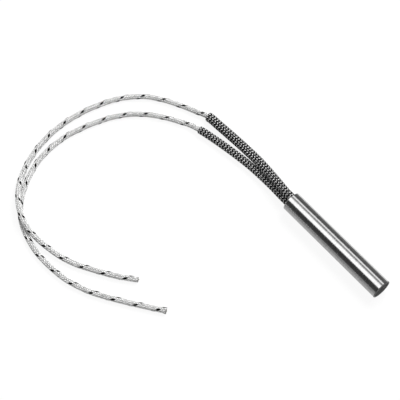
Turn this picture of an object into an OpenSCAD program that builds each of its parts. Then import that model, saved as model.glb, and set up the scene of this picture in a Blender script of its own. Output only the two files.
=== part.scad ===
// Swaged cartridge heater with two sleeved glass-braid leads.
// Millimetres, +Z up. The sheath lies along X with its closed end at +X
// and its bottom line on the floor, so the leads come out of the mouth at -X.

/* [Sheath] */
// Outside diameter, a 3/8 inch bore less the usual undersize
sheath_d = 9.45; // [8.8:0.05:14]
// Overall length, 2 1/4 inch
sheath_len = 57.15; // [45:0.05:150]
// Wall of the tube after swaging
sheath_wall = 0.65; // [0.4:0.05:0.9]
// Radius on the two outer rims
rim_edge = 0.25; // [0.1:0.05:0.35]
// Radial play of whatever is packed into the bore
pack_fit = 0.02; // [0.01:0.01:0.05]

/* [Closed end] */
// Thickness of the welded end disc
end_disc_t = 2.5; // [1.5:0.1:4]
// Chamfer round the disc, which leaves the weld line showing
disc_edge = 0.12; // [0.05:0.01:0.3]
// Thickness of the pressed wafer under the core
wafer_t = 2; // [1:0.1:4]

/* [Heated core] */
// Distance from the mouth to the start of the core
cold_len = 20.5; // [18:0.1:30]
// Compacted powder between the winding and the bore
fill_t = 0.78; // [0.5:0.01:1]
// Resistance wire
wire_d = 0.5; // [0.3:0.05:0.6]
// Distance from one turn to the next
wire_pitch = 1.45; // [1:0.05:3]
// Play of the wire on the core, in the slots and under the powder
wire_gap = 0.06; // [0.04:0.01:0.12]
// Ceramic left outside each pin hole
core_web = 0.55; // [0.4:0.05:0.8]
// Depth of the slot that takes each wire end through to its pin
slot_depth = 1.2; // [0.9:0.1:2]

/* [Pins and splices] */
// Terminal pins
pin_d = 1.2; // [0.9:0.05:1.4]
// Play of a pin in its hole
pin_fit = 0.05; // [0.02:0.01:0.1]
// Reach of the short pin into the core
short_pin_in = 6; // [4:0.5:15]
// Length of each crimped ferrule
ferrule_len = 7; // [5:0.1:8]
// Play inside and outside a ferrule
ferrule_fit = 0.04; // [0.02:0.01:0.08]
// Length of the two-hole bead round both splices
bead_len = 9; // [8.5:0.1:10]
// Ceramic between the two ferrules
bead_web = 0.7; // [0.5:0.05:0.9]

/* [Lead exit] */
// Inner end of the cement plug, measured from the mouth
cement_len = 7; // [5:0.1:8]
// Step from the mouth down to the cement
cement_recess = 0.4; // [0.2:0.05:1]
// Space between a sleeve and the bore
cement_web = 0.2; // [0.15:0.01:0.4]
// Space between the two sleeves at the mouth
sleeve_gap = 0.3; // [0.2:0.01:0.5]
// Play of each sleeve in the cement
cement_fit = 0.05; // [0.02:0.01:0.07]
// Roll of the two leads about the sheath's axis
pair_angle = 68; // [45:1:75]

/* [Leads] */
// Wall of the braided sleeves
sleeve_wall = 0.45; // [0.3:0.01:0.5]
// Slack between a sleeve and its lead
lead_slack = 0.1; // [0.05:0.01:0.2]
// Glass insulation on each conductor
insulation_t = 0.72; // [0.5:0.01:0.8]
// Play of the strands in the insulation
strand_gap = 0.03; // [0.02:0.01:0.06]
// Straight run of each lead outside the mouth
straight_out = 4; // [3:0.5:5]
// Straight run of each lead at its splice
splice_run = 1; // [0.5:0.1:1.5]
// Straight run of each lead behind its sleeve
sleeve_run = 0.5; // [0.3:0.1:1]

/* [Hidden] */
$fn = 64;
eps = 0.01;

// The sheath's own frame
mouth_x = -sheath_len / 2;
axis_z = sheath_d / 2;
bore_d = sheath_d - 2 * sheath_wall;
packed_d = bore_d - 2 * pack_fit;

// Stations along the axis, measured from the mouth
disc_at = sheath_len - end_disc_t;
wafer_at = disc_at - wafer_t;
bead_at = cold_len - bead_len;
ferrule_at = cold_len - (bead_len + ferrule_len) / 2;
joint_at = ferrule_at + ferrule_len / 2;

// Sections, from the bore inwards
winding_d = bore_d - 2 * fill_t;
core_d = winding_d - 2 * (wire_d + 2 * wire_gap);
pin_hole_d = pin_d + 2 * pin_fit;
pin_pitch = core_d - 2 * core_web - pin_hole_d;
bead_d = winding_d - 2 * wire_gap;
ferrule_hole_d = pin_pitch - bead_web;
ferrule_d = ferrule_hole_d - 2 * ferrule_fit;
slot_w = wire_d + 2 * wire_gap;

// Sections of the leads
sleeve_d = (bore_d - 2 * cement_web - sleeve_gap) / 2;
sleeve_pitch = sleeve_d + sleeve_gap;
lead_d = sleeve_d - 2 * (sleeve_wall + lead_slack);
conductor_d = lead_d - 2 * insulation_t;
splice_bore_d = max(pin_d, conductor_d) + 2 * ferrule_fit;

// Winding: a whole number of turns and a half, so that it ends beside the other pin
wire_from = wafer_at - slot_depth / 2;
wire_to = cold_len + slot_depth / 2;
wire_steps = 16;
wire_sides = 6;
turns = floor((wire_from - wire_to) / wire_pitch - 0.5) + 0.5;
wire_r = (core_d / 2 + wire_gap) / cos(180 / wire_steps) + wire_d / 2;
weld_r = pin_pitch / 2 + pin_d / 2 + eps;

// Routes of the leads outside: distance out of the mouth, Y and lift off the floor.
// Each sleeve ends at the route point whose place in the list is given below.
route_a = [
    [11.5, 1.6, 4.75], [24, 2.8, 3.25], [37.5, 3.2, 1.6], [51, 2.8, 0.8], [58.5, 2.2, 0.7],
    [65, -0.2, 0.2], [73, -3.7, 0], [81, -8.2, 0], [87.7, -13.7, 0], [93.6, -22.3, 0],
    [97.1, -31.2, 0], [99.4, -41.2, 0], [100.2, -52.1, 0], [99, -62.5, 0], [95.4, -73.7, 0.2],
    [89, -84, 1.2], [81.1, -91.1, 2.8], [72.1, -95.5, 2.7], [62.5, -96.4, 1.1],
    [50.2, -94.4, 0.1], [40.5, -91, 0], [28.5, -84, 0], [22.6, -79.9, 0], [16.6, -75.1, 0]];
route_b = [
    [13.5, -0.4, 1.2], [26.5, -0.7, 0.8], [38.5, -2.1, 0.7], [50, -4.1, 0.7], [55.7, -5.4, 0.7],
    [61, -7, 0.2], [65.8, -9.4, 0], [73.8, -14.4, 0], [80.9, -20.6, 0], [86.3, -28, 0],
    [90.2, -37, 0], [92.9, -46.9, 0], [94.2, -57.5, 0], [92.4, -70.7, 0], [86.5, -83, 0],
    [79, -91.7, 0], [70.6, -97, 0], [59, -100, 0], [48.5, -100.3, 0], [37.6, -98.8, 0],
    [28, -95.4, 0], [19.8, -90.9, 0], [8.6, -83.4, 0], [-2.6, -75.3, 0]];
sleeve_end = 4;
route_steps = 2;
lead_sides = 8;
sleeve_sides = 12;

// Point at distance u inside the mouth, off the axis along the line through both leads
function inside(u, off) = [mouth_x + u, off * cos(pair_angle), axis_z + off * sin(pair_angle)];

// Route point as a place in the model
function outside(p) = [mouth_x - p[0], p[1], lead_d / 2 + p[2]];

// One point of the smooth curve through b and c
function curve(a, b, c, d, t) =
    b + 0.5 * t * (c - a + t * (2 * a - 5 * b + 4 * c - d + t * (3 * (b - c) + d - a)));

// Straight stretch of a lead, from the splice out past the mouth; side is 1 or -1
function straight_part(side) = let (near = side * pin_pitch / 2, far = side * sleeve_pitch / 2) [
    inside(bead_at, near), inside(bead_at - splice_run, near),
    inside(cement_len + sleeve_run, far), inside(cement_len, far), inside(0, far)];

// Free stretch of a lead, smoothed through its route up to the place given as last
function free_part(side, route, last) = let (
    far = side * sleeve_pitch / 2,
    p = concat([inside(0, far), inside(-straight_out, far)], [for (q = route) outside(q)]),
    n = len(p))
    concat(
        [for (i = [1 : last + 1], k = [0 : route_steps - 1])
            curve(p[i - 1], p[i], p[i + 1], p[min(i + 2, n - 1)], k / route_steps)],
        [p[last + 2]]);

function lead_path(side, route) =
    concat(straight_part(side), free_part(side, route, len(route) - 1));

function conductor_path(side, route) =
    concat([inside(joint_at, side * pin_pitch / 2)], lead_path(side, route));

function sleeve_path(side, route) = let (far = side * sleeve_pitch / 2)
    concat([inside(cement_len, far), inside(0, far)], free_part(side, route, sleeve_end));

// Path of the resistance wire: in from the long pin, round the core, back to the short pin
function on_core(r, angle, u) = [u, r * cos(angle), r * sin(angle)];

function wire_path() = concat(
    [on_core(weld_r, 0, wire_from)],
    [for (i = [0 : turns * wire_steps])
        on_core(wire_r, 360 * i / wire_steps,
            wire_from + (wire_to - wire_from) * i / (turns * wire_steps))],
    [on_core(weld_r, 180, wire_to)]);

// Sweep of a regular section along a path, with frames set by a steady up direction
function unit(v) = v / norm(v);

function heading(path, i) = let (n = len(path) - 1)
    i == 0 ? unit(path[1] - path[0])
    : i == n ? unit(path[n] - path[n - 1])
    : unit(unit(path[i + 1] - path[i]) + unit(path[i] - path[i - 1]));

function ring(path, i, r, sides, up) = let (
    t = heading(path, i),
    across = unit(cross(up, t)),
    above = cross(t, across))
    [for (k = [0 : sides - 1]) let (a = 360 * (k + 0.5) / sides)
        path[i] + r * (cos(a) * across + sin(a) * above)];

function skin(rings, sides, from, flip) = [
    for (i = [0 : rings - 2], k = [0 : sides - 1]) let (
        a = from + i * sides + k,
        b = from + i * sides + (k + 1) % sides)
        each flip
            ? [[a, b + sides, b], [a, a + sides, b + sides]]
            : [[a, b, b + sides], [a, b + sides, a + sides]]];

module swept_rod(path, d, sides, up) {
    n = len(path);
    points = [for (i = [0 : n - 1]) each ring(path, i, d / 2, sides, up)];
    caps = [[for (k = [sides - 1 : -1 : 0]) k], [for (k = [0 : sides - 1]) (n - 1) * sides + k]];
    polyhedron(points, concat(skin(n, sides, 0, false), caps));
}

module swept_tube(path, d, bore, sides, up) {
    n = len(path);
    inner = n * sides;
    last = (n - 1) * sides;
    points = concat(
        [for (i = [0 : n - 1]) each ring(path, i, d / 2, sides, up)],
        [for (i = [0 : n - 1]) each ring(path, i, bore / 2, sides, up)]);
    ends = [for (k = [0 : sides - 1]) let (m = (k + 1) % sides) each [
        [k, inner + m, m], [k, inner + k, inner + m],
        [last + k, last + m, inner + last + m], [last + k, inner + last + m, inner + last + k]]];
    polyhedron(points, concat(skin(n, sides, 0, false), skin(n, sides, inner, true), ends));
}

// Frame of what is inside the sheath: Z of the child runs inwards from u, Y through the pins
module along(u) {
    translate([mouth_x + u, 0, axis_z])
    rotate([pair_angle, 0, 0])
    rotate([0, 90, 0])
    children();
}

// One child on each side of the axis
module pair(pitch) {
    for (side = [-1, 1])
        translate([0, side * pitch / 2, 0])
        children();
}

// Outline of a tube wall with a small radius on both outer rims
module wall_outline(inner_r, outer_r, h, edge) {
    difference() {
        translate([inner_r, 0])
        square([outer_r - inner_r, h]);
        for (end = [0, 1])
            translate([outer_r - edge, end * (h - 2 * edge) + edge])
            difference() {
                translate([0, end ? 0 : -edge - eps])
                square([edge + eps, edge + eps]);
                circle(edge);
            }
    }
}

module sheath() {
    color("silver")
    along(0)
    rotate_extrude()
    wall_outline(bore_d / 2, sheath_d / 2, sheath_len, rim_edge);
}

module end_disc() {
    color("dimgray")
    along(disc_at)
    union() {
        cylinder(d = packed_d, h = end_disc_t - disc_edge);
        translate([0, 0, end_disc_t - disc_edge])
        cylinder(d1 = packed_d, d2 = packed_d - 2 * disc_edge, h = disc_edge);
    }
}

module base_wafer() {
    color("whitesmoke")
    along(wafer_at)
    cylinder(d = packed_d, h = wafer_t);
}

// Two-hole core with a slot at each end, where the wire passes in to its pin
module ceramic_core() {
    core_len = wafer_at - cold_len;
    color("white")
    along(cold_len)
    difference() {
        cylinder(d = core_d, h = core_len);
        translate([0, 0, -eps])
        pair(pin_pitch)
        cylinder(d = pin_hole_d, h = core_len + 2 * eps);
        translate([-slot_w / 2, pin_pitch / 2, core_len - slot_depth])
        cube([slot_w, core_d, slot_depth + eps]);
        translate([-slot_w / 2, -pin_pitch / 2 - core_d, -eps])
        cube([slot_w, core_d, slot_depth + eps]);
    }
}

module heating_wire() {
    color("peru")
    translate([mouth_x, 0, axis_z])
    rotate([pair_angle, 0, 0])
    swept_rod(wire_path(), wire_d, wire_sides, [1, 0, 0]);
}

// Compacted powder: a sleeve round the winding and the bead, with a flat passage for the leads
module magnesia_fill() {
    fill_len = wafer_at - cement_len;
    passage_w = lead_d + 2 * lead_slack;
    color("gainsboro")
    along(cement_len)
    difference() {
        cylinder(d = packed_d, h = fill_len);
        translate([0, 0, bead_at - cement_len])
        cylinder(d = winding_d, h = fill_len);
        translate([0, 0, -eps])
        linear_extrude(bead_at - cement_len + 2 * eps)
        union() {
            pair(sleeve_pitch) circle(d = passage_w);
            square([passage_w, sleeve_pitch], center = true);
        }
    }
}

module terminal_pin(side, reach) {
    color("lightslategray")
    along(joint_at)
    translate([0, side * pin_pitch / 2, 0])
    cylinder(d = pin_d, h = cold_len - joint_at + reach);
}

module long_pin() {
    terminal_pin(1, wafer_at - cold_len);
}

module short_pin() {
    terminal_pin(-1, short_pin_in);
}

module splice_ferrule(side) {
    color("darkgoldenrod")
    along(ferrule_at)
    translate([0, side * pin_pitch / 2, 0])
    difference() {
        cylinder(d = ferrule_d, h = ferrule_len);
        translate([0, 0, -eps])
        cylinder(d = splice_bore_d, h = ferrule_len + 2 * eps);
    }
}

module splice_ferrule_a() {
    splice_ferrule(1);
}

module splice_ferrule_b() {
    splice_ferrule(-1);
}

module splice_bead() {
    color("linen")
    along(bead_at)
    difference() {
        cylinder(d = bead_d, h = bead_len);
        translate([0, 0, -eps])
        pair(pin_pitch)
        cylinder(d = ferrule_hole_d, h = bead_len + 2 * eps);
    }
}

module end_cement() {
    plug_len = cement_len - cement_recess;
    color("darkkhaki")
    along(cement_recess)
    difference() {
        cylinder(d = packed_d, h = plug_len);
        translate([0, 0, -eps])
        pair(sleeve_pitch)
        cylinder(d = sleeve_d + 2 * cement_fit, h = plug_len + 2 * eps);
    }
}

module conductor(side, route) {
    color("tan")
    swept_rod(conductor_path(side, route), conductor_d, lead_sides, [0, 0, 1]);
}

module conductor_a() {
    conductor(1, route_a);
}

module conductor_b() {
    conductor(-1, route_b);
}

module lead(side, route) {
    color("ivory")
    swept_tube(lead_path(side, route), lead_d, conductor_d + 2 * strand_gap, lead_sides, [0, 0, 1]);
}

module lead_a() {
    lead(1, route_a);
}

module lead_b() {
    lead(-1, route_b);
}

// The sleeve's bore is measured across its flats, so that the lead clears it all round
module sleeve(side, route) {
    bore = (lead_d + 2 * lead_slack) / cos(180 / sleeve_sides);
    color("black")
    swept_tube(sleeve_path(side, route), sleeve_d, bore, sleeve_sides, [0, 0, 1]);
}

module sleeve_a() {
    sleeve(1, route_a);
}

module sleeve_b() {
    sleeve(-1, route_b);
}

sheath();
end_disc();
base_wafer();
ceramic_core();
heating_wire();
magnesia_fill();
long_pin();
short_pin();
splice_ferrule_a();
splice_ferrule_b();
splice_bead();
end_cement();
conductor_a();
conductor_b();
lead_a();
lead_b();
sleeve_a();
sleeve_b();
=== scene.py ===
"""Looks of a cartridge heater: a ground sheath, a welded end and two sleeved, braided leads."""

import logging
import math
from dataclasses import dataclass, field
from enum import Enum, IntEnum
from typing import Any, Iterator, Sequence

import bmesh
import bpy
import numpy as np
from mathutils import Matrix, Vector


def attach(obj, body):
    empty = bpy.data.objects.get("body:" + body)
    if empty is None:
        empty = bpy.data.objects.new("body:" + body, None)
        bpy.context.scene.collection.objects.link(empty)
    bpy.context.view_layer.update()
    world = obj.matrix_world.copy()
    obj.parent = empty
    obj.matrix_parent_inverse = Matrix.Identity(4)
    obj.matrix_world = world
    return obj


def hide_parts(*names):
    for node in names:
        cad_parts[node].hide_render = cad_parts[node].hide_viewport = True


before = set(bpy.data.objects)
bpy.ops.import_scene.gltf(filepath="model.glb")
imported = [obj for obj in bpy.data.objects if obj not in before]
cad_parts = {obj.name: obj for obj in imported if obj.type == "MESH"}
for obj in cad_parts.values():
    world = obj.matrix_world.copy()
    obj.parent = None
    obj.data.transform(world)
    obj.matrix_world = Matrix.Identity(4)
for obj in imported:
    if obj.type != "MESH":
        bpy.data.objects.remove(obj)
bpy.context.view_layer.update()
log = logging.getLogger("cartridge_heater")

Array = np.ndarray
Colour = tuple[float, float, float]
Point = tuple[float, float, float]

MM = 0.001
TURN = 2.0 * math.pi
ROOT = "root"

# Names of the map along a yarn and of its height in the braid.
YARN_MAP = "yarn"
LIFT = "lift"

# Sizes that the part's source gives.
SHEATH_LENGTH = 0.05715
SHEATH_DIAMETER = 0.00945
SLEEVE_DIAMETER = 0.003725
LEAD_DIAMETER = 0.002625
CONDUCTOR_DIAMETER = 0.001185
CEMENT_DEPTH = 0.007

# The sheath lies along X on the floor, with its mouth at the low end.
MOUTH_X = -SHEATH_LENGTH / 2
AXIS_Z = SHEATH_DIAMETER / 2

# Both leads side by side in the mouth, as far apart as the pins and then as the sleeves.
PAIR_ANGLE = math.radians(68.0)
PIN_OFFSET = 0.00295 / 2
SLEEVE_OFFSET = 0.004025 / 2
LEAD_RADIUS = LEAD_DIAMETER / 2
SLEEVE_RADIUS = SLEEVE_DIAMETER / 2
CONDUCTOR_RADIUS = CONDUCTOR_DIAMETER / 2

# Least height of a yarn over the floor.
FLOOR_GAP = 0.00002


class Signal:
    """A number in a shader that takes part in Python arithmetic."""

    def __init__(self, graph: "Graph", socket: bpy.types.NodeSocket) -> None:
        """Keep the socket and the graph that new nodes go to."""
        self.graph = graph
        self.socket = socket

    def __add__(self, other: "Signal | float") -> "Signal":
        """Sum of two values."""
        return self.graph.math("ADD", self, other)

    def __radd__(self, other: float) -> "Signal":
        """Sum with a plain number first."""
        return self.graph.math("ADD", other, self)

    def __sub__(self, other: "Signal | float") -> "Signal":
        """Difference of two values."""
        return self.graph.math("SUBTRACT", self, other)

    def __rsub__(self, other: float) -> "Signal":
        """Difference with a plain number first."""
        return self.graph.math("SUBTRACT", other, self)

    def __mul__(self, other: "Signal | float") -> "Signal":
        """Product of two values."""
        return self.graph.math("MULTIPLY", self, other)

    def __rmul__(self, other: float) -> "Signal":
        """Product with a plain number first."""
        return self.graph.math("MULTIPLY", other, self)

    def __truediv__(self, other: "Signal | float") -> "Signal":
        """Quotient of two values."""
        return self.graph.math("DIVIDE", self, other)

    def __rtruediv__(self, other: float) -> "Signal":
        """Quotient with a plain number first."""
        return self.graph.math("DIVIDE", other, self)

    def __pow__(self, other: "Signal | float") -> "Signal":
        """First value to the power of the second."""
        return self.graph.math("POWER", self, other)

    def __rpow__(self, other: float) -> "Signal":
        """Plain number to the power of the value."""
        return self.graph.math("POWER", other, self)

    def at_most(self, other: "Signal | float") -> "Signal":
        """Lower of two values."""
        return self.graph.math("MINIMUM", self, other)

    def at_least(self, other: "Signal | float") -> "Signal":
        """Higher of two values."""
        return self.graph.math("MAXIMUM", self, other)

    def angle_over(self, other: "Signal") -> "Signal":
        """Angle of the point whose height is this value and whose reach is the other."""
        return self.graph.math("ARCTAN2", self, other)

    def eased(self, low: float, high: float) -> "Signal":
        """Zero below low, one above high and smooth between.

        Args:
            low: value where the rise starts.
            high: value where it ends.

        Returns:
            The eased signal, from 0 to 1.
        """
        made = self.graph.node(
            "ShaderNodeMapRange",
            {"interpolation_type": "SMOOTHSTEP"},
            {"Value": self, "From Min": low, "From Max": high},
        )
        return Signal(self.graph, made.outputs["Result"])


class Graph:
    """The nodes of one material or world."""

    def __init__(self, owner: bpy.types.Material | bpy.types.World) -> None:
        """Start an empty tree.

        Args:
            owner: the material or world that gets it.
        """
        owner.use_nodes = True
        self.owner = owner
        self.tree = owner.node_tree
        self.tree.nodes.clear()

    def node(
        self,
        kind: str,
        settings: dict[str, Any] | None = None,
        inputs: dict[str | int, Any] | None = None,
    ) -> bpy.types.Node:
        """Add a node.

        Args:
            kind: the node's type.
            settings: its options, set first; "stops" are a ramp's places and grey levels.
            inputs: values or links of its sockets, by name or place.

        Returns:
            The new node.
        """
        made = self.tree.nodes.new(kind)
        for key, value in (settings or {}).items():
            if key == "stops":
                self._set_stops(made.color_ramp, value)
            else:
                setattr(made, key, value)
        for key, value in (inputs or {}).items():
            if isinstance(value, Signal):
                value = value.socket
            if isinstance(value, bpy.types.NodeSocket):
                self.tree.links.new(value, made.inputs[key])
            else:
                made.inputs[key].default_value = value
        return made

    @staticmethod
    def _set_stops(ramp: bpy.types.ColorRamp, stops: Sequence[tuple[float, float]]) -> None:
        """Lay grey stops on a ramp.

        Args:
            ramp: the ramp to fill.
            stops: pairs of place and grey level, in order.
        """
        while len(ramp.elements) < len(stops):
            ramp.elements.new(1.0)
        for element, (place, level) in zip(ramp.elements, stops):
            element.position = place
            element.color = (level, level, level, 1.0)

    def math(self, operation: str, *values: "Signal | float") -> Signal:
        """Result of one Math node on values in order."""
        made = self.node("ShaderNodeMath", {"operation": operation}, dict(enumerate(values)))
        return Signal(self, made.outputs[0])

    def place(
        self, scale: Point = (1.0, 1.0, 1.0), shift: Point = (0.0, 0.0, 0.0)
    ) -> bpy.types.NodeSocket:
        """Object coordinates, scaled and then shifted."""
        source = self.node("ShaderNodeTexCoord").outputs["Object"]
        return self._mapped(source, scale, shift)

    def yarn_place(self, scale: Point = (1.0, 1.0, 1.0)) -> bpy.types.NodeSocket:
        """Scaled coordinates along and across a yarn."""
        source = self.node("ShaderNodeUVMap", {"uv_map": YARN_MAP}).outputs["UV"]
        return self._mapped(source, scale, (0.0, 0.0, 0.0))

    def _mapped(
        self, source: bpy.types.NodeSocket, scale: Point, shift: Point
    ) -> bpy.types.NodeSocket:
        """Send a vector through a Mapping node.

        Args:
            source: vector to map.
            scale: factor for each axis.
            shift: what is added after scaling.

        Returns:
            The mapped vector socket.
        """
        made = self.node(
            "ShaderNodeMapping", None, {"Vector": source, "Scale": scale, "Location": shift}
        )
        return made.outputs["Vector"]

    def parts(self, vector: bpy.types.NodeSocket) -> tuple[Signal, Signal, Signal]:
        """Split a vector into its three numbers."""
        made = self.node("ShaderNodeSeparateXYZ", None, {0: vector})
        return tuple(Signal(self, out) for out in made.outputs)

    def noise(self, vector: bpy.types.NodeSocket, scale: float, detail: float) -> Signal:
        """Smooth noise from 0 to 1.

        Args:
            vector: coordinates.
            scale: how fine it is.
            detail: number of finer layers.

        Returns:
            The noise value.
        """
        made = self.node(
            "ShaderNodeTexNoise", None, {"Vector": vector, "Scale": scale, "Detail": detail}
        )
        return Signal(self, made.outputs["Fac"])

    def blend(self, first: Any, second: Any, factor: Signal) -> bpy.types.NodeSocket:
        """Mix two colours.

        Args:
            first: colour, or link, where the factor is 0.
            second: colour, or link, where it is 1.
            factor: the mask.

        Returns:
            The mixed colour socket.
        """
        wide = [c if isinstance(c, bpy.types.NodeSocket) else (*c, 1.0) for c in (first, second)]
        made = self.node(
            "ShaderNodeMix",
            {"data_type": "RGBA"},
            {0: factor, 6: wide[0], 7: wide[1]},
        )
        return made.outputs[2]

    def bump(self, height: Signal, distance: float, strength: float) -> bpy.types.NodeSocket:
        """Normal bent by a height.

        Args:
            height: the height signal.
            distance: how high 1 stands, in metres.
            strength: share of the effect.

        Returns:
            The normal socket.
        """
        made = self.node(
            "ShaderNodeBump", None, {"Height": height, "Distance": distance, "Strength": strength}
        )
        return made.outputs["Normal"]


@dataclass(frozen=True)
class Finish:
    """A finish that can be put on pieces; each kind paints its own nodes."""

    name: str

    def paint(self, graph: Graph) -> dict[str, Any]:
        """Inputs of the surface shader for this finish."""
        raise NotImplementedError

    def material(self) -> bpy.types.Material:
        """Make the material, or give back the one made before.

        Returns:
            The material of this finish.
        """
        known = bpy.data.materials.get(self.name)
        if known is not None:
            return known
        graph = Graph(bpy.data.materials.new(self.name))
        surface = graph.node("ShaderNodeBsdfPrincipled", None, self.paint(graph))
        graph.node("ShaderNodeOutputMaterial", None, {"Surface": surface.outputs[0]})
        return graph.owner


@dataclass(frozen=True)
class GroundSteel(Finish):
    """Centreless-ground stainless: fine rings round the axis, faint smears of handling."""

    pale: Colour = (0.73, 0.73, 0.73)
    deep: Colour = (0.50, 0.50, 0.50)
    scaled: Colour = (0.13, 0.13, 0.13)
    roughness: float = 0.075
    weld_at: float = 0.02840
    weld_fade: float = 0.0002
    relief: float = 2.5e-5

    # How fine each pattern is, along the sheath and round it.
    RINGS = (5200.0, 45.0, 45.0)
    BROAD = (420.0, 12.0, 12.0)
    SMEAR = (90.0, 160.0, 160.0)
    GRAIN = (1900.0, 800.0, 800.0)

    def paint(self, graph: Graph) -> dict[str, Any]:
        """Rings that are fine along the axis and long round it, dark at the weld.

        Args:
            graph: where the nodes go.

        Returns:
            Inputs of the surface shader.
        """
        rings = graph.noise(graph.place(self.RINGS), 1.0, 3.0)
        broad = graph.noise(graph.place(self.BROAD), 1.0, 1.0)
        smear = graph.noise(graph.place(self.SMEAR), 1.0, 3.0)
        grain = graph.noise(graph.place(self.GRAIN), 1.0, 4.0)
        along, _, _ = graph.parts(graph.place())
        welded = along.eased(self.weld_at - self.weld_fade, self.weld_at)
        ground = (rings * 0.6 + broad * 0.4).eased(0.25, 0.75)
        tone = ground * 0.35 + grain.eased(0.32, 0.66) * 0.65
        bright = graph.blend(self.deep, self.pale, tone)
        wear_and_shade = grain.eased(0.40, 0.70)
        rough = self.roughness + wear_and_shade * 0.13 + (rings + smear - 1.0) * 0.05 + welded * 0.4
        return {
            "Base Color": graph.blend(bright, self.scaled, welded),
            "Metallic": 1.0,
            "Roughness": rough.at_least(0.05),
            "Normal": graph.bump(rings * 0.1 + grain, self.relief, 0.6),
        }


@dataclass(frozen=True)
class WeldedSteel(Finish):
    """Faced disc, darkened by heat scale and further by painted shade: mottled scale over turned
    rings.
    """

    # Painted shade: both colours are set darker than heat scale alone would make them, for the
    # shade on the end face.
    pale: Colour = (0.058, 0.058, 0.058)
    deep: Colour = (0.014, 0.014, 0.0145)
    roughness: float = 0.6
    gloss: float = 0.05
    feed: float = 0.00032
    relief: float = 4.0e-5

    # How fine the scale and the grit are.
    BLOTCH = 620.0
    GRIT = 3600.0

    def paint(self, graph: Graph) -> dict[str, Any]:
        """Blotches of scale, fine grit, and faint rings about the sheath's axis.

        Args:
            graph: where the nodes go.

        Returns:
            Inputs of the surface shader.
        """
        here = graph.place(shift=(0.0, 0.0, -AXIS_Z))
        _, side, height = graph.parts(here)
        reach = (side * side + height * height) ** 0.5
        turned = graph.math("SINE", reach * (TURN / self.feed)) * 0.5 + 0.5
        blotch = graph.noise(here, self.BLOTCH, 4.0)
        grit = graph.noise(here, self.GRIT, 3.0)
        tone = (blotch * 0.62 + grit * 0.38).eased(0.34, 0.66)
        return {
            "Base Color": graph.blend(self.deep, self.pale, tone),
            "Roughness": self.roughness + (grit - 0.5) * 0.3,
            "Specular IOR Level": self.gloss,
            "Normal": graph.bump(grit * 0.8 + blotch * 0.5 + turned * 0.12, self.relief, 0.6),
        }


@dataclass(frozen=True)
class GlassYarn(Finish):
    """Twistless glass yarn: filaments along it, with painted shade toward its edges and where it
    dips under.
    """

    # Deep is reached in dark streaks and patches and in the painted shade; sunk and rise set the
    # painted shade where a yarn dips under.
    pale: Colour = (0.97, 0.97, 0.965)
    deep: Colour = (0.05, 0.05, 0.049)
    roughness: float = 0.5
    sunk: float = 0.0
    gloss: float = 0.35
    rise: tuple[float, float] = (-0.3, 0.65)
    relief: float = 2.2e-5

    # How fine the filaments and the worn patches are, along a yarn and across it.
    FILAMENTS = (0.45, 13.0, 1.0)
    PATCHES = (1.15, 1.1, 1.0)

    def paint(self, graph: Graph) -> dict[str, Any]:
        """Streaks that follow each yarn by its own map, with painted shade toward its edges and
        where it dips under.

        Args:
            graph: where the nodes go.

        Returns:
            Inputs of the surface shader.
        """
        streak = graph.noise(graph.yarn_place(self.FILAMENTS), 1.0, 3.0)
        patch = graph.noise(graph.yarn_place(self.PATCHES), 1.0, 1.0)
        _, across, _ = graph.parts(graph.yarn_place())
        # Painted shade: crown falls from one at the yarn's middle to nought at its edges, and the
        # colour darkens with it.
        crown = 1.0 - (graph.math("FRACT", across) * 2.0 - 1.0) ** 2.0
        height = graph.node("ShaderNodeAttribute", {"attribute_name": LIFT})
        lift = Signal(graph, height.outputs["Fac"])
        # Filament streaks, the yarn's own tone, plus the painted shade toward its edges.
        wear_and_shade = streak.eased(0.22, 0.62) * 0.22 + crown.eased(0.0, 0.45) * 0.4
        tone = wear_and_shade + patch.eased(0.38, 0.54) * 0.38
        # Painted shade: the colour darkens where the lift says the yarn dips under a crossing
        # yarn, down to the share sunk.
        tone = tone * (lift.eased(*self.rise) * (1.0 - self.sunk) + self.sunk)
        return {
            "Base Color": graph.blend(self.deep, self.pale, tone.at_most(1.0)),
            "Roughness": self.roughness + (streak - 0.5) * 0.25,
            "Specular IOR Level": self.gloss,
            "Normal": graph.bump(streak + crown * 0.15, self.relief, 0.5),
        }


@dataclass(frozen=True)
class Ceramic(Finish):
    """Pressed or poured ceramic: chalky, with pores and soft blotches."""

    pale: Colour = (0.82, 0.80, 0.75)
    deep: Colour = (0.60, 0.57, 0.52)
    grain: float = 2600.0
    relief: float = 4.0e-5
    roughness: float = 0.85
    blotches: float = 260.0

    def paint(self, graph: Graph) -> dict[str, Any]:
        """Fine grain over wide blotches, with small pores painted dark as shade.

        Args:
            graph: where the nodes go.

        Returns:
            Inputs of the surface shader.
        """
        here = graph.place()
        blotch = graph.noise(here, self.blotches, 3.0)
        grain = graph.noise(here, self.grain, 4.0)
        pore = grain.eased(0.30, 0.42)
        # Painted shade: the tone drops toward deep in the pores, which the bump also sinks.
        tone = (blotch * 0.5 + grain * 0.5).eased(0.3, 0.7) * pore
        return {
            "Base Color": graph.blend(self.deep, self.pale, tone),
            "Roughness": self.roughness + (grain - 0.5) * 0.15,
            "Normal": graph.bump(grain * pore, self.relief, 0.7),
        }


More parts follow.
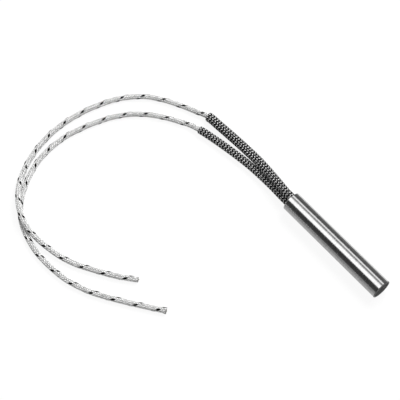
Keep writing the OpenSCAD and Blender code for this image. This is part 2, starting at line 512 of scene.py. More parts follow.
@dataclass(frozen=True)
class DrawnMetal(Finish):
    """Drawn or crimped metal: die lines along X and a slight tarnish."""

    pale: Colour = (0.72, 0.69, 0.63)
    deep: Colour = (0.47, 0.44, 0.39)
    roughness: float = 0.3
    relief: float = 4.0e-6

    # How fine the die lines are, along X and across it, and how fine the tarnish is.
    LINES = (160.0, 5200.0, 5200.0)
    TARNISH = 700.0

    def paint(self, graph: Graph) -> dict[str, Any]:
        """Long streaks under blotches of tarnish.

        Args:
            graph: where the nodes go.

        Returns:
            Inputs of the surface shader.
        """
        lines = graph.noise(graph.place(self.LINES), 1.0, 2.0)
        tarnish = graph.noise(graph.place(), self.TARNISH, 3.0)
        return {
            "Base Color": graph.blend(self.deep, self.pale, tarnish.eased(0.3, 0.65)),
            "Metallic": 1.0,
            "Roughness": self.roughness + (lines - 0.5) * 0.2 + (tarnish - 0.5) * 0.15,
            "Normal": graph.bump(lines, self.relief, 0.4),
        }


GROUND_STEEL = GroundSteel("ground stainless")
WELDED_STEEL = WeldedSteel("welded disc")
WHITE_GLASS = GlassYarn("white glass yarn")
TRACER_GLASS = GlassYarn(
    "black tracer yarn", pale=(0.005, 0.005, 0.005), deep=(0.002, 0.002, 0.002),
    roughness=0.7, sunk=0.5, gloss=0.03,
)
# Painted shade: the pale sleeve yarn is darkened everywhere but near its top, nearly to black
# where it dips under.
SLEEVE_WHITE = GlassYarn(
    "pale sleeve yarn", pale=(0.95, 0.95, 0.945), deep=(0.015, 0.015, 0.015),
    gloss=0.1, rise=(0.4, 1.05),
)
SLEEVE_BLACK = GlassYarn(
    "black sleeve yarn", pale=(0.010, 0.010, 0.011), deep=(0.003, 0.003, 0.003),
    roughness=0.6, sunk=0.3, gloss=0.05,
)
# Painted shade: this inner wrap is kept dark to stand in for the shade in the gaps between the
# lead's yarns.
GAP_SHADE_WRAP = GlassYarn(
    "inner wrap, painted gap shade", pale=(0.16, 0.158, 0.152), deep=(0.06, 0.059, 0.056),
    roughness=0.7, sunk=0.6,
)
FILM = GlassYarn(
    "sleeve varnish", pale=(0.030, 0.029, 0.028), deep=(0.010, 0.010, 0.010),
    sunk=0.3, gloss=0.12,
)
MAGNESIA = Ceramic("pressed magnesia")
POWDER = Ceramic(
    "compacted powder", pale=(0.76, 0.74, 0.70), deep=(0.56, 0.54, 0.50),
    grain=5200.0, relief=2.0e-5, roughness=0.92,
)
CEMENT = Ceramic(
    "end cement", pale=(0.66, 0.64, 0.60), deep=(0.36, 0.345, 0.32),
    grain=1900.0, relief=7.0e-5, roughness=0.9,
)
NICKEL = DrawnMetal("nickel")
NICKEL_CHROME = DrawnMetal(
    "heating alloy", pale=(0.42, 0.40, 0.37), deep=(0.24, 0.225, 0.21), roughness=0.42
)


class Hand(IntEnum):
    """Way that a yarn winds round its core."""

    LEFT = -1
    RIGHT = 1


class Layer(IntEnum):
    """Place of each finish in the list that a braided piece has."""

    PALE = 0
    BLACK = 1
    LINING = 2


class Pattern(Enum):
    """Which yarns of a braid are black."""

    TRACER = "one yarn of the left-handed set"
    ALTERNATE = "every second yarn of both sets"

    def layer(self, hand: Hand, index: int) -> Layer:
        """Tell whether a yarn is pale or black.

        Args:
            hand: the set that it belongs to.
            index: its place in that set.

        Returns:
            The layer whose finish it has.
        """
        if self is Pattern.TRACER:
            black = hand is Hand.LEFT and index == 0
        else:
            black = index % 2 == 0
        return Layer.BLACK if black else Layer.PALE


def eased(values: Array, low: float, high: float) -> Array:
    """Zero where values are below low, one above high and smooth between."""
    share = np.clip((values - low) / (high - low), 0.0, 1.0)
    return share * share * (3.0 - 2.0 * share)


class Path:
    """A line with its length from the mouth and a frame that doesn't twist about it."""

    # Points closer together than this count as one.
    LEAST_STEP = 1e-8

    def __init__(self, points: Array, inside: float) -> None:
        """Measure the line.

        Args:
            points: places along it, close together.
            inside: length of the stretch before the mouth.
        """
        steps = np.linalg.norm(np.diff(points, axis=0), axis=1)
        apart = steps > self.LEAST_STEP
        self.points = points[np.r_[True, apart]]
        self.s = np.r_[0.0, np.cumsum(steps[apart])] - inside
        heading = np.gradient(self.points, self.s, axis=0)
        self.heading = heading / np.linalg.norm(heading, axis=1)[:, None]
        self.up = self._carried(np.array([0.0, 0.0, 1.0]))
        self.side = np.cross(self.heading, self.up)

    def _carried(self, up: Array) -> Array:
        """Carry a direction along the line without turning it about the line.

        Args:
            up: direction at the start.

        Returns:
            The direction at each point.
        """
        found = np.zeros_like(self.points)
        for i, heading in enumerate(self.heading):
            up = up - heading * (up @ heading)
            up = up / np.linalg.norm(up)
            found[i] = up
        return found

    @property
    def start(self) -> float:
        """Place where the line starts, below zero inside the mouth."""
        return float(self.s[0])

    @property
    def end(self) -> float:
        """Place where the line ends."""
        return float(self.s[-1])

    def _read(self, values: Array, s: Array) -> Array:
        """Values at given places along the line."""
        return np.stack([np.interp(s, self.s, values[:, k]) for k in range(3)], axis=-1)

    def around(self, s: Array, angle: Array, radius: Array) -> Array:
        """Points round the line.

        Args:
            s: places along it; past an end it goes on straight.
            angle: turn about the line, from up.
            radius: distance from it.

        Returns:
            The points.
        """
        held = np.clip(s, self.start, self.end)
        middle = self._read(self.points, held)
        middle = middle + (s - held)[..., None] * self._read(self.heading, held)
        out = np.cos(angle)[..., None] * self._read(self.up, held)
        out = out + np.sin(angle)[..., None] * self._read(self.side, held)
        return middle + np.broadcast_to(radius, s.shape)[..., None] * out

    def every(self, step: float) -> list[list[float]]:
        """Points of the line about a step apart."""
        count = int(math.ceil((self.end - self.start) / step)) + 1
        return self._read(self.points, np.linspace(self.start, self.end, count)).tolist()


class Surface:
    """Collects grids of points into one mesh, with a map along and across each."""

    def __init__(self) -> None:
        """Start with nothing."""
        self.points: list[Array] = []
        self.faces: list[list[int]] = []
        self.corners: list[list[tuple[float, float]]] = []
        self.finishes: list[Layer] = []
        self.lifts: list[Array] = []
        self.count = 0

    def grid(
        self, points: Array, along: Array, across: Sequence[float], lift: Array, finish: Layer
    ) -> None:
        """Add a closed tube of rings with capped ends.

        Args:
            points: rings by points by three.
            along: map place of each ring.
            across: map place of each point of a ring.
            lift: how far each point stands out of the braid, from -1 to 1.
            finish: layer whose finish it has.
        """
        rings, sides, _ = points.shape
        base = self._add(points, lift)
        for i in range(rings - 1):
            for k in range(sides):
                n = (k + 1) % sides
                row, above = base + i * sides, base + (i + 1) * sides
                self.faces.append([row + k, row + n, above + n, above + k])
                self.corners.append([
                    (along[i], across[k]), (along[i], across[n]),
                    (along[i + 1], across[n]), (along[i + 1], across[k]),
                ])
                self.finishes.append(finish)
        for ring, order in ((0, range(sides - 1, -1, -1)), (rings - 1, range(sides))):
            self.faces.append([base + ring * sides + k for k in order])
            self.corners.append([(along[ring], across[k]) for k in order])
            self.finishes.append(finish)

    def pipe(self, outer: Array, inner: Array, along: Array, finish: Layer) -> None:
        """Add a thick-walled pipe.

        Args:
            outer: rings of the outside.
            inner: rings of the bore.
            along: map place of each ring.
            finish: layer whose finish it has.
        """
        rings, sides, _ = outer.shape
        sunk = np.full(outer.shape[:2], -1.0)
        outside, bore = self._add(outer, sunk), self._add(inner, sunk)
        walls = ((outside, (0, 1, 2, 3)), (bore, (0, 3, 2, 1)))
        for i in range(rings - 1):
            for k in range(sides):
                n = (k + 1) % sides
                low, high = i * sides, (i + 1) * sides
                panel = [low + k, low + n, high + n, high + k]
                span = [(along[i], k / sides), (along[i], (k + 1) / sides),
                        (along[i + 1], (k + 1) / sides), (along[i + 1], k / sides)]
                for first, order in walls:
                    self.faces.append([first + panel[j] for j in order])
                    self.corners.append([span[j] for j in order])
                    self.finishes.append(finish)
        for ring in (0, rings - 1):
            for k in range(sides):
                n = (k + 1) % sides
                edge, rim = outside + ring * sides, bore + ring * sides
                end = [edge + k, rim + k, rim + n, edge + n]
                self.faces.append(end if ring == 0 else end[::-1])
                self.corners.append([(along[ring], k / sides)] * 4)
                self.finishes.append(finish)

    def _add(self, points: Array, lift: Array) -> int:
        """Store points with their lift.

        Args:
            points: rings by points by three.
            lift: how far each point stands out.

        Returns:
            The number of the first point.
        """
        base = self.count
        self.points.append(points.reshape(-1, 3))
        self.lifts.append(lift.ravel())
        self.count += points.shape[0] * points.shape[1]
        return base

    def make(self, name: str, finishes: Sequence[Finish]) -> bpy.types.Object:
        """Turn what was collected into an object.

        Args:
            name: the piece's name.
            finishes: its finishes, in the order that faces name them.

        Returns:
            The new object, at the origin.
        """
        mesh = bpy.data.meshes.new(name)
        mesh.from_pydata(np.concatenate(self.points).tolist(), [], self.faces)
        layer = mesh.uv_layers.new(name=YARN_MAP)
        flat = np.array([c for face in self.corners for c in face], np.float32)
        layer.data.foreach_set("uv", flat.ravel())
        lift = mesh.attributes.new(LIFT, "FLOAT", "POINT")
        lift.data.foreach_set("value", np.concatenate(self.lifts).astype(np.float32))
        for finish in finishes:
            mesh.materials.append(finish.material())
        mesh.polygons.foreach_set("material_index", np.array(self.finishes, np.int32))
        mesh.shade_smooth()
        mesh.update()
        piece = bpy.data.objects.new(name, mesh)
        bpy.context.scene.collection.objects.link(piece)
        return piece


@dataclass(frozen=True)
class Braid:
    """A two-over, two-under tube of flat yarns."""

    carriers: int
    pitch: float
    outer: float
    thick: float
    cover: tuple[float, float]
    pattern: Pattern
    roll: float = 0.0
    twist: float = 0.0
    shift: float = 0.0
    flare: float = 0.0
    ragged: float = 0.0
    proud: float = 0.0
    swell: float = 0.0
    bunch: tuple[float, float, float] = (0.0, 1.0, 0.0)

    # Section of a yarn, as shares of its width and thickness, and its map places across.
    SECTION = np.array([(-0.5, -0.05), (-0.27, 0.4), (0.27, 0.4), (0.5, -0.05), (0.0, -0.5)])
    ACROSS = (0.0, 0.25, 0.75, 1.0, 0.5)

    # Rings of a yarn at each crossing, and map places from one yarn to the next.
    STEPS = 2
    LANES = 3

    # How abruptly a yarn goes from over to under.
    STEEPNESS = 1.5

    # Stretch of a cut end that stands off, how far past the cut it is worked out,
    # and the least share and the spread of the flare from yarn to yarn.
    FLARE_LENGTH = 0.0022
    FLARE_PAST = 1.3
    FLARE_LEAST = 0.45
    FLARE_SPREAD = 0.9

    # Stretch out of the mouth over which the free braid swells.
    SWELL_RUN = (0.004, 0.030)

    # Layer under the braid: its sides and step, and its depth in thicknesses of a yarn.
    CORE_SIDES = 14
    CORE_STEP = 0.0011
    CORE_DEPTH = 0.75

    @property
    def middle(self) -> float:
        """Radius halfway through the braid."""
        return self.outer - self.thick

    @property
    def slope(self) -> float:
        """Angle between a yarn and the line that it winds round."""
        return math.atan(TURN * self.middle / self.pitch)

    @property
    def room(self) -> float:
        """Width from one yarn to the next of its set."""
        return TURN * self.middle / self.carriers * math.cos(self.slope)

    def weave(self, surface: Surface, path: Path, start: float, end: float, seed: int) -> None:
        """Add every yarn to a surface.

        Args:
            surface: where the yarns go.
            path: the line that they wind round.
            start: place along it where they start.
            end: place where they are cut.
            seed: seed for the ragged ends.
        """
        rng = np.random.default_rng(seed)
        for hand in Hand:
            for index in range(self.carriers):
                cut = end - self.ragged * rng.random()
                flare = self.flare * (self.FLARE_LEAST + self.FLARE_SPREAD * rng.random())
                finish = self.pattern.layer(hand, index)
                self._yarn(surface, path, hand, index, (start, cut), flare, finish)

    def _yarn(
        self,
        surface: Surface,
        path: Path,
        hand: Hand,
        index: int,
        span: tuple[float, float],
        flare: float,
        finish: Layer,
    ) -> None:
        """Add one yarn.

        Args:
            surface: where it goes.
            path: the line that it winds round.
            hand: which way it winds.
            index: its place in its set.
            span: where it starts and ends.
            flare: how far its cut end stands off.
            finish: layer whose finish it has.
        """
        crossing = self.pitch / (2 * self.carriers)
        count = int(round((span[1] - span[0]) / crossing * self.STEPS)) + 1
        s = np.linspace(span[0], span[1], count)
        low, high, extra = self.bunch
        laid = s - self.shift + extra * eased(s, low, high)
        turn = TURN * index / self.carriers + hand * TURN * laid / self.pitch
        if hand is Hand.RIGHT:
            turn = turn + math.pi / self.carriers
        across = self.SECTION[:, 0] * self.cover[finish] * self.room
        place = s[:, None] - hand * across * math.sin(self.slope)
        turn = turn[:, None] + across * math.cos(self.slope) / self.middle
        wave = np.tanh(self.STEEPNESS * np.cos(0.5 * self.carriers * turn))
        lift = -hand * (wave / math.tanh(self.STEEPNESS))
        radius = self.middle + 0.5 * self.thick * lift + self.SECTION[:, 1] * self.thick
        flare_at = span[1] - self.FLARE_LENGTH
        open_end = np.clip((place - flare_at) / self.FLARE_LENGTH, 0.0, self.FLARE_PAST)
        radius = radius + flare * open_end ** 2
        if finish is Layer.BLACK:
            radius = radius + self.proud
        radius = radius + self.swell * eased(place, *self.SWELL_RUN)
        angle = turn + self.roll + self.twist * place
        points = path.around(place, angle, radius)
        points[..., 2] = np.maximum(points[..., 2], FLOOR_GAP)
        lane = self.LANES * (index + self.carriers * (hand is Hand.RIGHT))
        surface.grid(points, s / MM, [lane + a for a in self.ACROSS], lift, finish)

    def core(self, surface: Surface, path: Path, span: tuple[float, float], bore: float) -> None:
        """Add the plain layer under the braid.

        Args:
            surface: where it goes.
            path: its line.
            span: where it starts and ends.
            bore: radius of its hole.
        """
        count = int(math.ceil((span[1] - span[0]) / self.CORE_STEP)) + 1
        s = np.linspace(span[0], span[1], count)[:, None] + np.zeros(self.CORE_SIDES)
        angle = np.linspace(0.0, TURN, self.CORE_SIDES, endpoint=False) + np.zeros_like(s)
        outer = self.middle - self.CORE_DEPTH * self.thick
        outside, hole = (path.around(s, angle, np.full_like(s, r)) for r in (outer, bore))
        surface.pipe(outside, hole, s[:, 0] / MM, Layer.LINING)


@dataclass
class BraidedLead:
    """One lead: its line, and on it a glass wrap and a braid with a tracer."""

    name: str
    side: int
    knots: Sequence[Point]
    braid: Braid
    seed: int
    sleeve_knot: int = 4
    straight_out: float = 0.004
    splice_at: float = 0.0115
    splice_run: float = 0.001
    sleeve_run: float = 0.0005
    strand_gap: float = 0.00004
    wrap_back: float = 0.0002
    path_step: float = 0.0015
    path: Path = field(init=False)
    sleeve_end: float = field(init=False)
    piece: bpy.types.Object = field(init=False)

    # Points of the line from one knot to the next.
    STEPS = 24

    def __post_init__(self) -> None:
        """Lay the line that the lead follows."""
        near, far = self.side * PIN_OFFSET, self.side * SLEEVE_OFFSET
        inner = np.array([
            self._inside(self.splice_at, near),
            self._inside(self.splice_at - self.splice_run, near),
            self._inside(CEMENT_DEPTH + self.sleeve_run, far),
            self._inside(CEMENT_DEPTH, far),
            self._inside(0.0, far),
        ])
        free, knots_at = self._free()
        self.path = Path(
            np.concatenate([inner, free]),
            float(np.linalg.norm(np.diff(inner, axis=0), axis=1).sum()),
        )
        cut = free[: knots_at[self.sleeve_knot] + 1]
        cut = np.concatenate([inner[-1:], cut])
        self.sleeve_end = float(np.linalg.norm(np.diff(cut, axis=0), axis=1).sum())

    @staticmethod
    def _inside(depth: float, off: float) -> list[float]:
        """Point at a depth inside the mouth, off the axis toward a lead."""
        return [MOUTH_X + depth, off * math.cos(PAIR_ANGLE), AXIS_Z + off * math.sin(PAIR_ANGLE)]

    def _free(self) -> tuple[Array, list[int]]:
        """Smooth line through the route outside the mouth.

        Returns:
            Its points, and the number of the point at each knot of the route.
        """
        far = self.side * SLEEVE_OFFSET
        p = [self._inside(0.0, far), self._inside(-self.straight_out, far)]
        p += [[MOUTH_X - out, y, LEAD_RADIUS + lift] for out, y, lift in self.knots]
        p = np.array(p)
        points, knots_at = [], []
        for i in range(1, len(p) - 1):
            a, b, c, d = p[i - 1], p[i], p[i + 1], p[min(i + 2, len(p) - 1)]
            for k in range(self.STEPS):
                t = k / self.STEPS
                rise = c - a + t * (2 * a - 5 * b + 4 * c - d + t * (3 * (b - c) + d - a))
                points.append(b + 0.5 * t * rise)
            knots_at.append(len(points))
        points.append(p[-1])
        return np.array(points), knots_at

    def build(self) -> bpy.types.Object:
        """Make the lead's wrap and braid as one piece that stands for the plain tube.

        Returns:
            The new piece.
        """
        surface = Surface()
        self.braid.weave(surface, self.path, self.path.start, self.path.end, self.seed)
        wrap = (self.path.start, self.path.end - self.wrap_back)
        self.braid.core(surface, self.path, wrap, CONDUCTOR_RADIUS + self.strand_gap)
        self.piece = surface.make(f"{self.name}_braid", (WHITE_GLASS, TRACER_GLASS, GAP_SHADE_WRAP))
        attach(self.piece, ROOT)
        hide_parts(self.name)
        return self.piece

    def declare(self, *riders: bpy.types.Object) -> None:
        """Work out the lead's point in the mouth and its line's points a step apart; neither is
        kept.

        Args:
            riders: pieces that go with it; not used.
        """
        self._inside(0.0, self.side * SLEEVE_OFFSET)
        self.path.every(self.path_step)


@dataclass
class BraidedSleeve:
    """Black-and-white braided sleeve over the first stretch of a lead."""

    name: str
    lead: BraidedLead
    braid: Braid
    seed: int
    bore: float = 0.0014125
    film_back: float = 0.00004

    def build(self) -> bpy.types.Object:
        """Make the sleeve's braid and varnished lining as one piece.

        Returns:
            The new piece.
        """
        surface = Surface()
        path, end = self.lead.path, self.lead.sleeve_end
        self.braid.weave(surface, path, -CEMENT_DEPTH, end, self.seed)
        self.braid.core(surface, path, (-CEMENT_DEPTH, end - self.film_back), self.bore)
        piece = surface.make(f"{self.name}_braid", (SLEEVE_WHITE, SLEEVE_BLACK, FILM))
        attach(piece, ROOT)
        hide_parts(self.name)
        return piece


@dataclass
class CutStrands:
    """Ends of the stranded conductor, where a lead is cut off."""

    name: str
    lead: BraidedLead
    rings: tuple[int, ...] = (6, 12)
    strand_radius: float = 0.000112
    strand_sides: int = 10
    spacing: float = 2.04
    length: float = 0.0012
    proud: float = 0.00012
    uneven: float = 4e-5
    rounding: float = 0.35
    crease: float = math.radians(40.0)
    seed: int = 11

    def build(self) -> bpy.types.Object:
        """Model one strand, lay rings of copies round it and set them in the lead's end.

        Returns:
            The new piece.
        """
        strand = self._strand()
        copies = [strand]
        rng = np.random.default_rng(self.seed)
        for ring, count in enumerate(self.rings, start=1):
            for k in range(count):
                twin = bpy.data.objects.new(f"{self.name}_{ring}_{k}", strand.data.copy())
                bpy.context.scene.collection.objects.link(twin)
                angle = TURN * (k + 0.5 * ring) / count
                reach = self.spacing * self.strand_radius * ring
                end = self.uneven * rng.random()
                spot = Vector((reach * math.cos(angle), reach * math.sin(angle), end))
                twin.data.transform(Matrix.Translation(spot))
                copies.append(twin)
        bpy.ops.object.select_all(action="DESELECT")
        for twin in copies:
            twin.select_set(True)
        bpy.context.view_layer.objects.active = strand
        bpy.ops.object.join()
        path = self.lead.path
        heading = Vector(path.heading[-1])
        turn = heading.to_track_quat("Z", "Y").to_matrix().to_4x4()
        cut = Vector(path.points[-1]) + heading * self.proud
        strand.data.transform(Matrix.Translation(cut) @ turn)
        strand.data.materials.append(NICKEL.material())
        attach(strand, ROOT)
        return strand

    def _strand(self) -> bpy.types.Object:
        """Model one strand with a rounded cut end.

        Returns:
            The strand, along Z with its cut end at the origin.
        """
        bpy.ops.object.select_all(action="DESELECT")
        bpy.ops.mesh.primitive_cylinder_add(
            vertices=self.strand_sides, radius=self.strand_radius, depth=self.length,
            location=(0.0, 0.0, -0.5 * self.length), calc_uvs=False,
        )
        strand = bpy.context.object
        strand.name = self.name
        bpy.ops.object.transform_apply(location=True, rotation=True, scale=True)
        bpy.ops.object.mode_set(mode="EDIT")
        bpy.ops.mesh.select_all(action="DESELECT")
        shape = bmesh.from_edit_mesh(strand.data)
        for edge in shape.edges:
            edge.select_set(all(v.co.z > -0.1 * self.length for v in edge.verts))
        bmesh.update_edit_mesh(strand.data)
        bpy.ops.mesh.bevel(offset=self.rounding * self.strand_radius, segments=2)
        bpy.ops.object.mode_set(mode="OBJECT")
        bpy.ops.object.shade_smooth_by_angle(angle=self.crease)
        return strand


@dataclass
class HeaterBody:
    """The CAD solids, each with its finish."""

    finishes: dict[str, Finish] = field(default_factory=lambda: {
        "sheath": GROUND_STEEL,
        "end_disc": WELDED_STEEL,
        "base_wafer": MAGNESIA,
        "ceramic_core": MAGNESIA,
        "heating_wire": NICKEL_CHROME,
        "magnesia_fill": POWDER,
        "long_pin": NICKEL,
        "short_pin": NICKEL,
        "splice_ferrule_a": NICKEL,
        "splice_ferrule_b": NICKEL,
        "splice_bead": MAGNESIA,
        "end_cement": CEMENT,
        "conductor_a": NICKEL,
        "conductor_b": NICKEL,
        "lead_a": WHITE_GLASS,
        "lead_b": WHITE_GLASS,
        "sleeve_a": SLEEVE_BLACK,
        "sleeve_b": SLEEVE_BLACK,
    })

    def dress(self) -> Iterator[str]:
        """Put a finish on every CAD solid.

        Yields:
            The name of each solid, once it is dressed.
        """
        for name, finish in self.finishes.items():
            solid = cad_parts[name]
            solid.data.materials.clear()
            solid.data.materials.append(finish.material())
            yield name


@dataclass(frozen=True)
class Card:
    """A card for the metal to mirror: Y of its long sides, brightness far and near the sheath."""

    name: str
    low: float
    high: float
    far: float
    near: float


@dataclass
class Studio:
    """Pale floor, soft light, a shell and cards for the metal to mirror, and the camera."""

    target: Point = (-0.05754, -0.02868, 0.0)
    distance: float = 0.575
    elevation: float = math.radians(62.50)
    azimuth: float = math.radians(48.90)
    lens: float = 114.88
    sensor: float = 36.0
    floor_size: float = 8.0
    floor_white: Colour = (0.95, 0.95, 0.95)
    floor_bounce: Colour = (0.70, 0.70, 0.70)
    floor_glow: float = 0.90
    fill: float = 0.54
    key_power: float = 18.0
    key_spot: Point = (-0.20, 0.76, 0.95)
    key_size: tuple[float, float] = (0.8, 0.6)
    clip_start: float = 0.01
    stage_length: float = 5.0
    shell_radius: float = 1.2
    shell_sides: int = 120
    shell_lift: float = 0.002
    card_lift: float = 0.0004
    card_fade: tuple[float, float] = (-0.026, -0.006)
    cards: tuple[Card, ...] = (
        Card("front card", low=-1.2, high=-0.0052, far=0.33, near=0.56),
        Card("back card", low=0.034, high=1.2, far=0.24, near=0.24),
    )

    # Bands of the shell, as degrees from +Y over the top to -Y, with their brightness.
    BANDS = (
        (0.0, 0.20), (30.0, 0.12), (38.0, 0.14), (44.0, 0.32), (48.5, 1.05), (52.0, 1.36),
        (57.0, 1.40), (61.0, 0.85), (65.0, 0.42), (70.0, 0.33), (75.0, 0.36), (80.0, 0.62),
        (86.0, 1.25), (92.0, 1.65), (117.0, 1.65), (120.0, 1.10), (123.5, 0.40), (127.0, 0.10),
        (133.0, 0.055), (146.0, 0.05), (160.0, 0.055), (170.0, 0.07), (176.0, 0.11), (180.0, 0.16),
    )

    def build(self) -> None:
        """Set up everything round the heater."""
        self._floor()
        self._shell()
        for card in self.cards:
            self._lay(card)
        self._world()
        self._lamp()
        self._camera()
        bpy.context.scene.view_settings.view_transform = "Standard"

    @staticmethod
    def _seen(graph: Graph) -> Signal:
        """One for rays from the camera and for mirrored or refracted ones.

        Args:
            graph: where the nodes go.

        Returns:
            The mask.
        """
        rays = graph.node("ShaderNodeLightPath").outputs
        direct, mirrored, refracted = (
            Signal(graph, rays[f"Is {kind} Ray"]) for kind in ("Camera", "Glossy", "Transmission")
        )
        return direct.at_least(mirrored).at_least(refracted)

    def _floor(self) -> None:
        """Lay a white floor that glows for the camera and still takes the shadow."""
        bpy.ops.object.select_all(action="DESELECT")
        bpy.ops.mesh.primitive_plane_add(size=self.floor_size)
        floor = bpy.context.object
        floor.name = "floor"
        graph = Graph(bpy.data.materials.new("floor"))
        seen = self._seen(graph)
        paint = graph.blend(self.floor_bounce, self.floor_white, seen)
        matt = graph.node("ShaderNodeBsdfDiffuse", None, {"Color": paint})
        glow = graph.node("ShaderNodeEmission", None, {"Strength": 1.0})
        both = graph.node(
            "ShaderNodeMixShader", None,
            {0: seen * self.floor_glow, 1: matt.outputs[0], 2: glow.outputs[0]},
        )
        graph.node("ShaderNodeOutputMaterial", None, {"Surface": both.outputs[0]})
        floor.data.materials.append(graph.owner)

    def _shell(self) -> None:
        """Stand a half-round shell over the heater, which only the metal sees."""
        bpy.ops.object.select_all(action="DESELECT")
        bpy.ops.mesh.primitive_cylinder_add(
            vertices=self.shell_sides, radius=self.shell_radius, depth=self.stage_length,
            end_fill_type="NOTHING", rotation=(0.0, math.pi / 2, 0.0),
        )
        shell = bpy.context.object
        shell.name = "shell"
        bpy.ops.object.transform_apply(location=True, rotation=True, scale=True)
        bpy.ops.object.mode_set(mode="EDIT")
        bpy.ops.mesh.select_all(action="SELECT")
        bpy.ops.mesh.bisect(
            plane_co=(0.0, 0.0, self.shell_lift), plane_no=(0.0, 0.0, 1.0), clear_inner=True
        )
        bpy.ops.object.mode_set(mode="OBJECT")
        graph = Graph(bpy.data.materials.new("shell"))
        _, side, height = graph.parts(graph.place())
        turn = height.angle_over(side) / math.pi
        top = max(level for _, level in self.BANDS)
        bands = graph.node(
            "ShaderNodeValToRGB",
            {"stops": [(degrees / 180.0, level / top) for degrees, level in self.BANDS]},
            {"Fac": turn},
        )
        self._for_mirrors(shell, graph, {"Color": bands.outputs["Color"], "Strength": top})

    def _lay(self, card: Card) -> None:
        """Lay a grey card on the floor, which only the metal sees.

        Args:
            card: its name, place and brightness.
        """
        middle = 0.5 * (card.low + card.high)
        bpy.ops.object.select_all(action="DESELECT")
        bpy.ops.mesh.primitive_plane_add(size=1.0, location=(0.0, middle, self.card_lift))
        sheet = bpy.context.object
        sheet.name = card.name
        sheet.scale = (self.stage_length, card.high - card.low, 1.0)
        graph = Graph(bpy.data.materials.new(card.name))
        _, side, _ = graph.parts(graph.node("ShaderNodeNewGeometry").outputs["Position"])
        level = side.eased(*self.card_fade) * (card.near - card.far) + card.far
        self._for_mirrors(sheet, graph, {"Strength": level})

    @staticmethod
    def _for_mirrors(thing: bpy.types.Object, graph: Graph, light: dict[str, Any]) -> None:
        """Make a stage piece glow, out of sight of all but mirrored rays.

        Args:
            thing: the stage piece.
            graph: the nodes of its material.
            light: inputs of the glow.
        """
        glow = graph.node("ShaderNodeEmission", None, light)
        graph.node("ShaderNodeOutputMaterial", None, {"Surface": glow.outputs[0]})
        thing.data.materials.append(graph.owner)
        thing.visible_camera = False
        thing.visible_diffuse = False
        thing.visible_shadow = False
        thing.visible_transmission = False

    def _world(self) -> None:
        """Light everything evenly from round about, with white behind it."""
        world = bpy.data.worlds.new("studio")
        bpy.context.scene.world = world
        graph = Graph(world)
        level = self._seen(graph) * (1.0 - self.fill) + self.fill
        light = graph.node(
            "ShaderNodeBackground", None, {"Color": (1.0, 1.0, 1.0, 1.0), "Strength": level}
        )
        graph.node("ShaderNodeOutputWorld", None, {"Surface": light.outputs[0]})

    def _lamp(self) -> None:
        """Hang one wide lamp over the far side."""
        spot = Vector(self.target) + Vector(self.key_spot)
        bpy.ops.object.light_add(type="AREA", location=spot)
        lamp = bpy.context.object
        lamp.name = "key"
        lamp.data.shape = "RECTANGLE"
        lamp.data.size, lamp.data.size_y = self.key_size
        lamp.data.energy = self.key_power
        lamp.visible_glossy = False
        lamp.rotation_euler = Vector(self.key_spot).to_track_quat("Z", "Y").to_euler()

    def _camera(self) -> None:
        """Stand the camera where the photograph was taken."""
        level = math.cos(self.elevation)
        back = Vector((
            math.sin(self.azimuth) * level,
            -math.cos(self.azimuth) * level,
            math.sin(self.elevation),
        ))
        data = bpy.data.cameras.new("camera")
        data.sensor_width = self.sensor
        data.lens = self.lens
        data.clip_start = self.clip_start
        camera = bpy.data.objects.new("camera", data)
        bpy.context.scene.collection.objects.link(camera)
        camera.location = Vector(self.target) + back * self.distance
        camera.rotation_euler = back.to_track_quat("Z", "Y").to_euler()
        bpy.context.scene.camera = camera


# Routes of the leads as in the part's source: distance out of the mouth, Y and lift off the floor.
ROUTE_A: tuple[Point, ...] = (
    (0.0115, 0.0016, 0.00475), (0.024, 0.0028, 0.00325), (0.0375, 0.0032, 0.0016),
    (0.051, 0.0028, 0.0008), (0.0585, 0.0022, 0.0007), (0.065, -0.0002, 0.0002),
    (0.073, -0.0037, 0.0), (0.081, -0.0082, 0.0), (0.0877, -0.0137, 0.0), (0.0936, -0.0223, 0.0),
    (0.0971, -0.0312, 0.0), (0.0994, -0.0412, 0.0), (0.1002, -0.0521, 0.0),
    (0.099, -0.0625, 0.0), (0.0954, -0.0737, 0.0002), (0.089, -0.084, 0.0012),
    (0.0811, -0.0911, 0.0028), (0.0721, -0.0955, 0.0027), (0.0625, -0.0964, 0.0011),
    (0.0502, -0.0944, 0.0001), (0.0405, -0.091, 0.0), (0.0285, -0.084, 0.0),
    (0.0226, -0.0799, 0.0), (0.0166, -0.0751, 0.0),
)
ROUTE_B: tuple[Point, ...] = (
    (0.0135, -0.0004, 0.0012), (0.0265, -0.0007, 0.0008), (0.0385, -0.0021, 0.0007),
    (0.05, -0.0041, 0.0007), (0.0557, -0.0054, 0.0007), (0.061, -0.007, 0.0002),
    (0.0658, -0.0094, 0.0), (0.0738, -0.0144, 0.0), (0.0809, -0.0206, 0.0),
    (0.0863, -0.028, 0.0), (0.0902, -0.037, 0.0), (0.0929, -0.0469, 0.0), (0.0942, -0.0575, 0.0),
    (0.0924, -0.0707, 0.0), (0.0865, -0.083, 0.0), (0.079, -0.0917, 0.0), (0.0706, -0.097, 0.0),
    (0.059, -0.1, 0.0), (0.0485, -0.1003, 0.0), (0.0376, -0.0988, 0.0), (0.028, -0.0954, 0.0),
    (0.0198, -0.0909, 0.0), (0.0086, -0.0834, 0.0), (-0.0026, -0.0753, 0.0),
)

# Place along a lead, from the mouth, where its slow twist is nil.
TWIST_FROM = 0.150


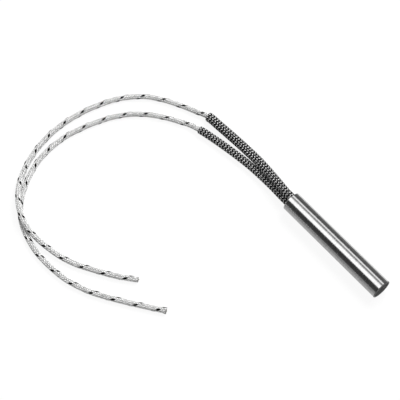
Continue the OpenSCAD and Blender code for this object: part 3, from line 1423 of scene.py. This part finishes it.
def lead_braid(
    roll: float,
    twist: float,
    shift: float,
    pitch: float,
    flare: float,
    bunch: tuple[float, float, float] = (0.0, 1.0, 0.0),
) -> Braid:
    """Braid of a lead, with its tracer set as the photograph shows.

    Args:
        roll: turn of the pattern about the lead where its slow twist is nil, in degrees.
        twist: slow twist of the lead, in degrees for each millimetre.
        shift: how far the pattern is moved along the lead.
        pitch: length of one turn of a yarn.
        flare: how far the yarns stand off at the cut end.
        bunch: stretch that is pushed together: where it starts and ends, and by how much.

    Returns:
        The braid.
    """
    slow = math.radians(twist) / MM
    return Braid(
        carriers=8, pitch=pitch, outer=LEAD_RADIUS, thick=0.00022, cover=(0.84, 1.5),
        pattern=Pattern.TRACER, roll=math.radians(roll) - slow * TWIST_FROM, twist=slow,
        shift=shift, flare=flare, ragged=0.0003, proud=0.00006, bunch=bunch,
    )


def sleeve_braid(roll: float, swell: float) -> Braid:
    """Braid of a sleeve.

    Args:
        roll: turn of the pattern about the sleeve, in degrees.
        swell: how far the free braid stands out beyond its size in the mouth.

    Returns:
        The braid.
    """
    return Braid(
        carriers=14, pitch=0.0112, outer=SLEEVE_RADIUS, thick=0.00024, cover=(0.82, 1.2),
        pattern=Pattern.ALTERNATE, roll=math.radians(roll), swell=swell,
        flare=0.00002, ragged=0.00003, proud=0.00001,
    )


def main() -> None:
    """Build every piece in order."""
    logging.basicConfig(level=logging.INFO, format="%(name)s: %(message)s")
    studio = Studio()
    studio.build()
    log.info("studio ready")

    braid_a = lead_braid(
        roll=61.0, twist=-0.29, shift=-0.00079, pitch=0.0100, flare=-0.00004,
        bunch=(0.150, 0.216, 0.0044),
    )
    braid_b = lead_braid(roll=60.0, twist=-0.27, shift=0.0, pitch=0.01005, flare=0.00022)
    lead_a = BraidedLead("lead_a", side=1, knots=ROUTE_A, braid=braid_a, seed=3)
    lead_b = BraidedLead("lead_b", side=-1, knots=ROUTE_B, braid=braid_b, seed=5)
    sleeve_a = BraidedSleeve("sleeve_a", lead_a, sleeve_braid(roll=10.0, swell=0.0004), seed=7)
    sleeve_b = BraidedSleeve("sleeve_b", lead_b, sleeve_braid(roll=28.0, swell=0.0), seed=7)
    for letter, lead, sleeve in (("a", lead_a, sleeve_a), ("b", lead_b, sleeve_b)):
        piece = lead.build()
        log.info("%s: %d faces, %.1f mm", piece.name, len(piece.data.polygons),
                 (lead.path.end - lead.path.start) / MM)
        cover = sleeve.build()
        log.info("%s: %d faces, ends %.1f mm out", cover.name, len(cover.data.polygons),
                 lead.sleeve_end / MM)
        strands = CutStrands(f"cut_strands_{letter}", lead).build()
        log.info("%s: %d faces", strands.name, len(strands.data.polygons))
        lead.declare(cover, strands)

    for name in HeaterBody().dress():
        log.info("%s: dressed", name)


if __name__ == "__main__":
    main()
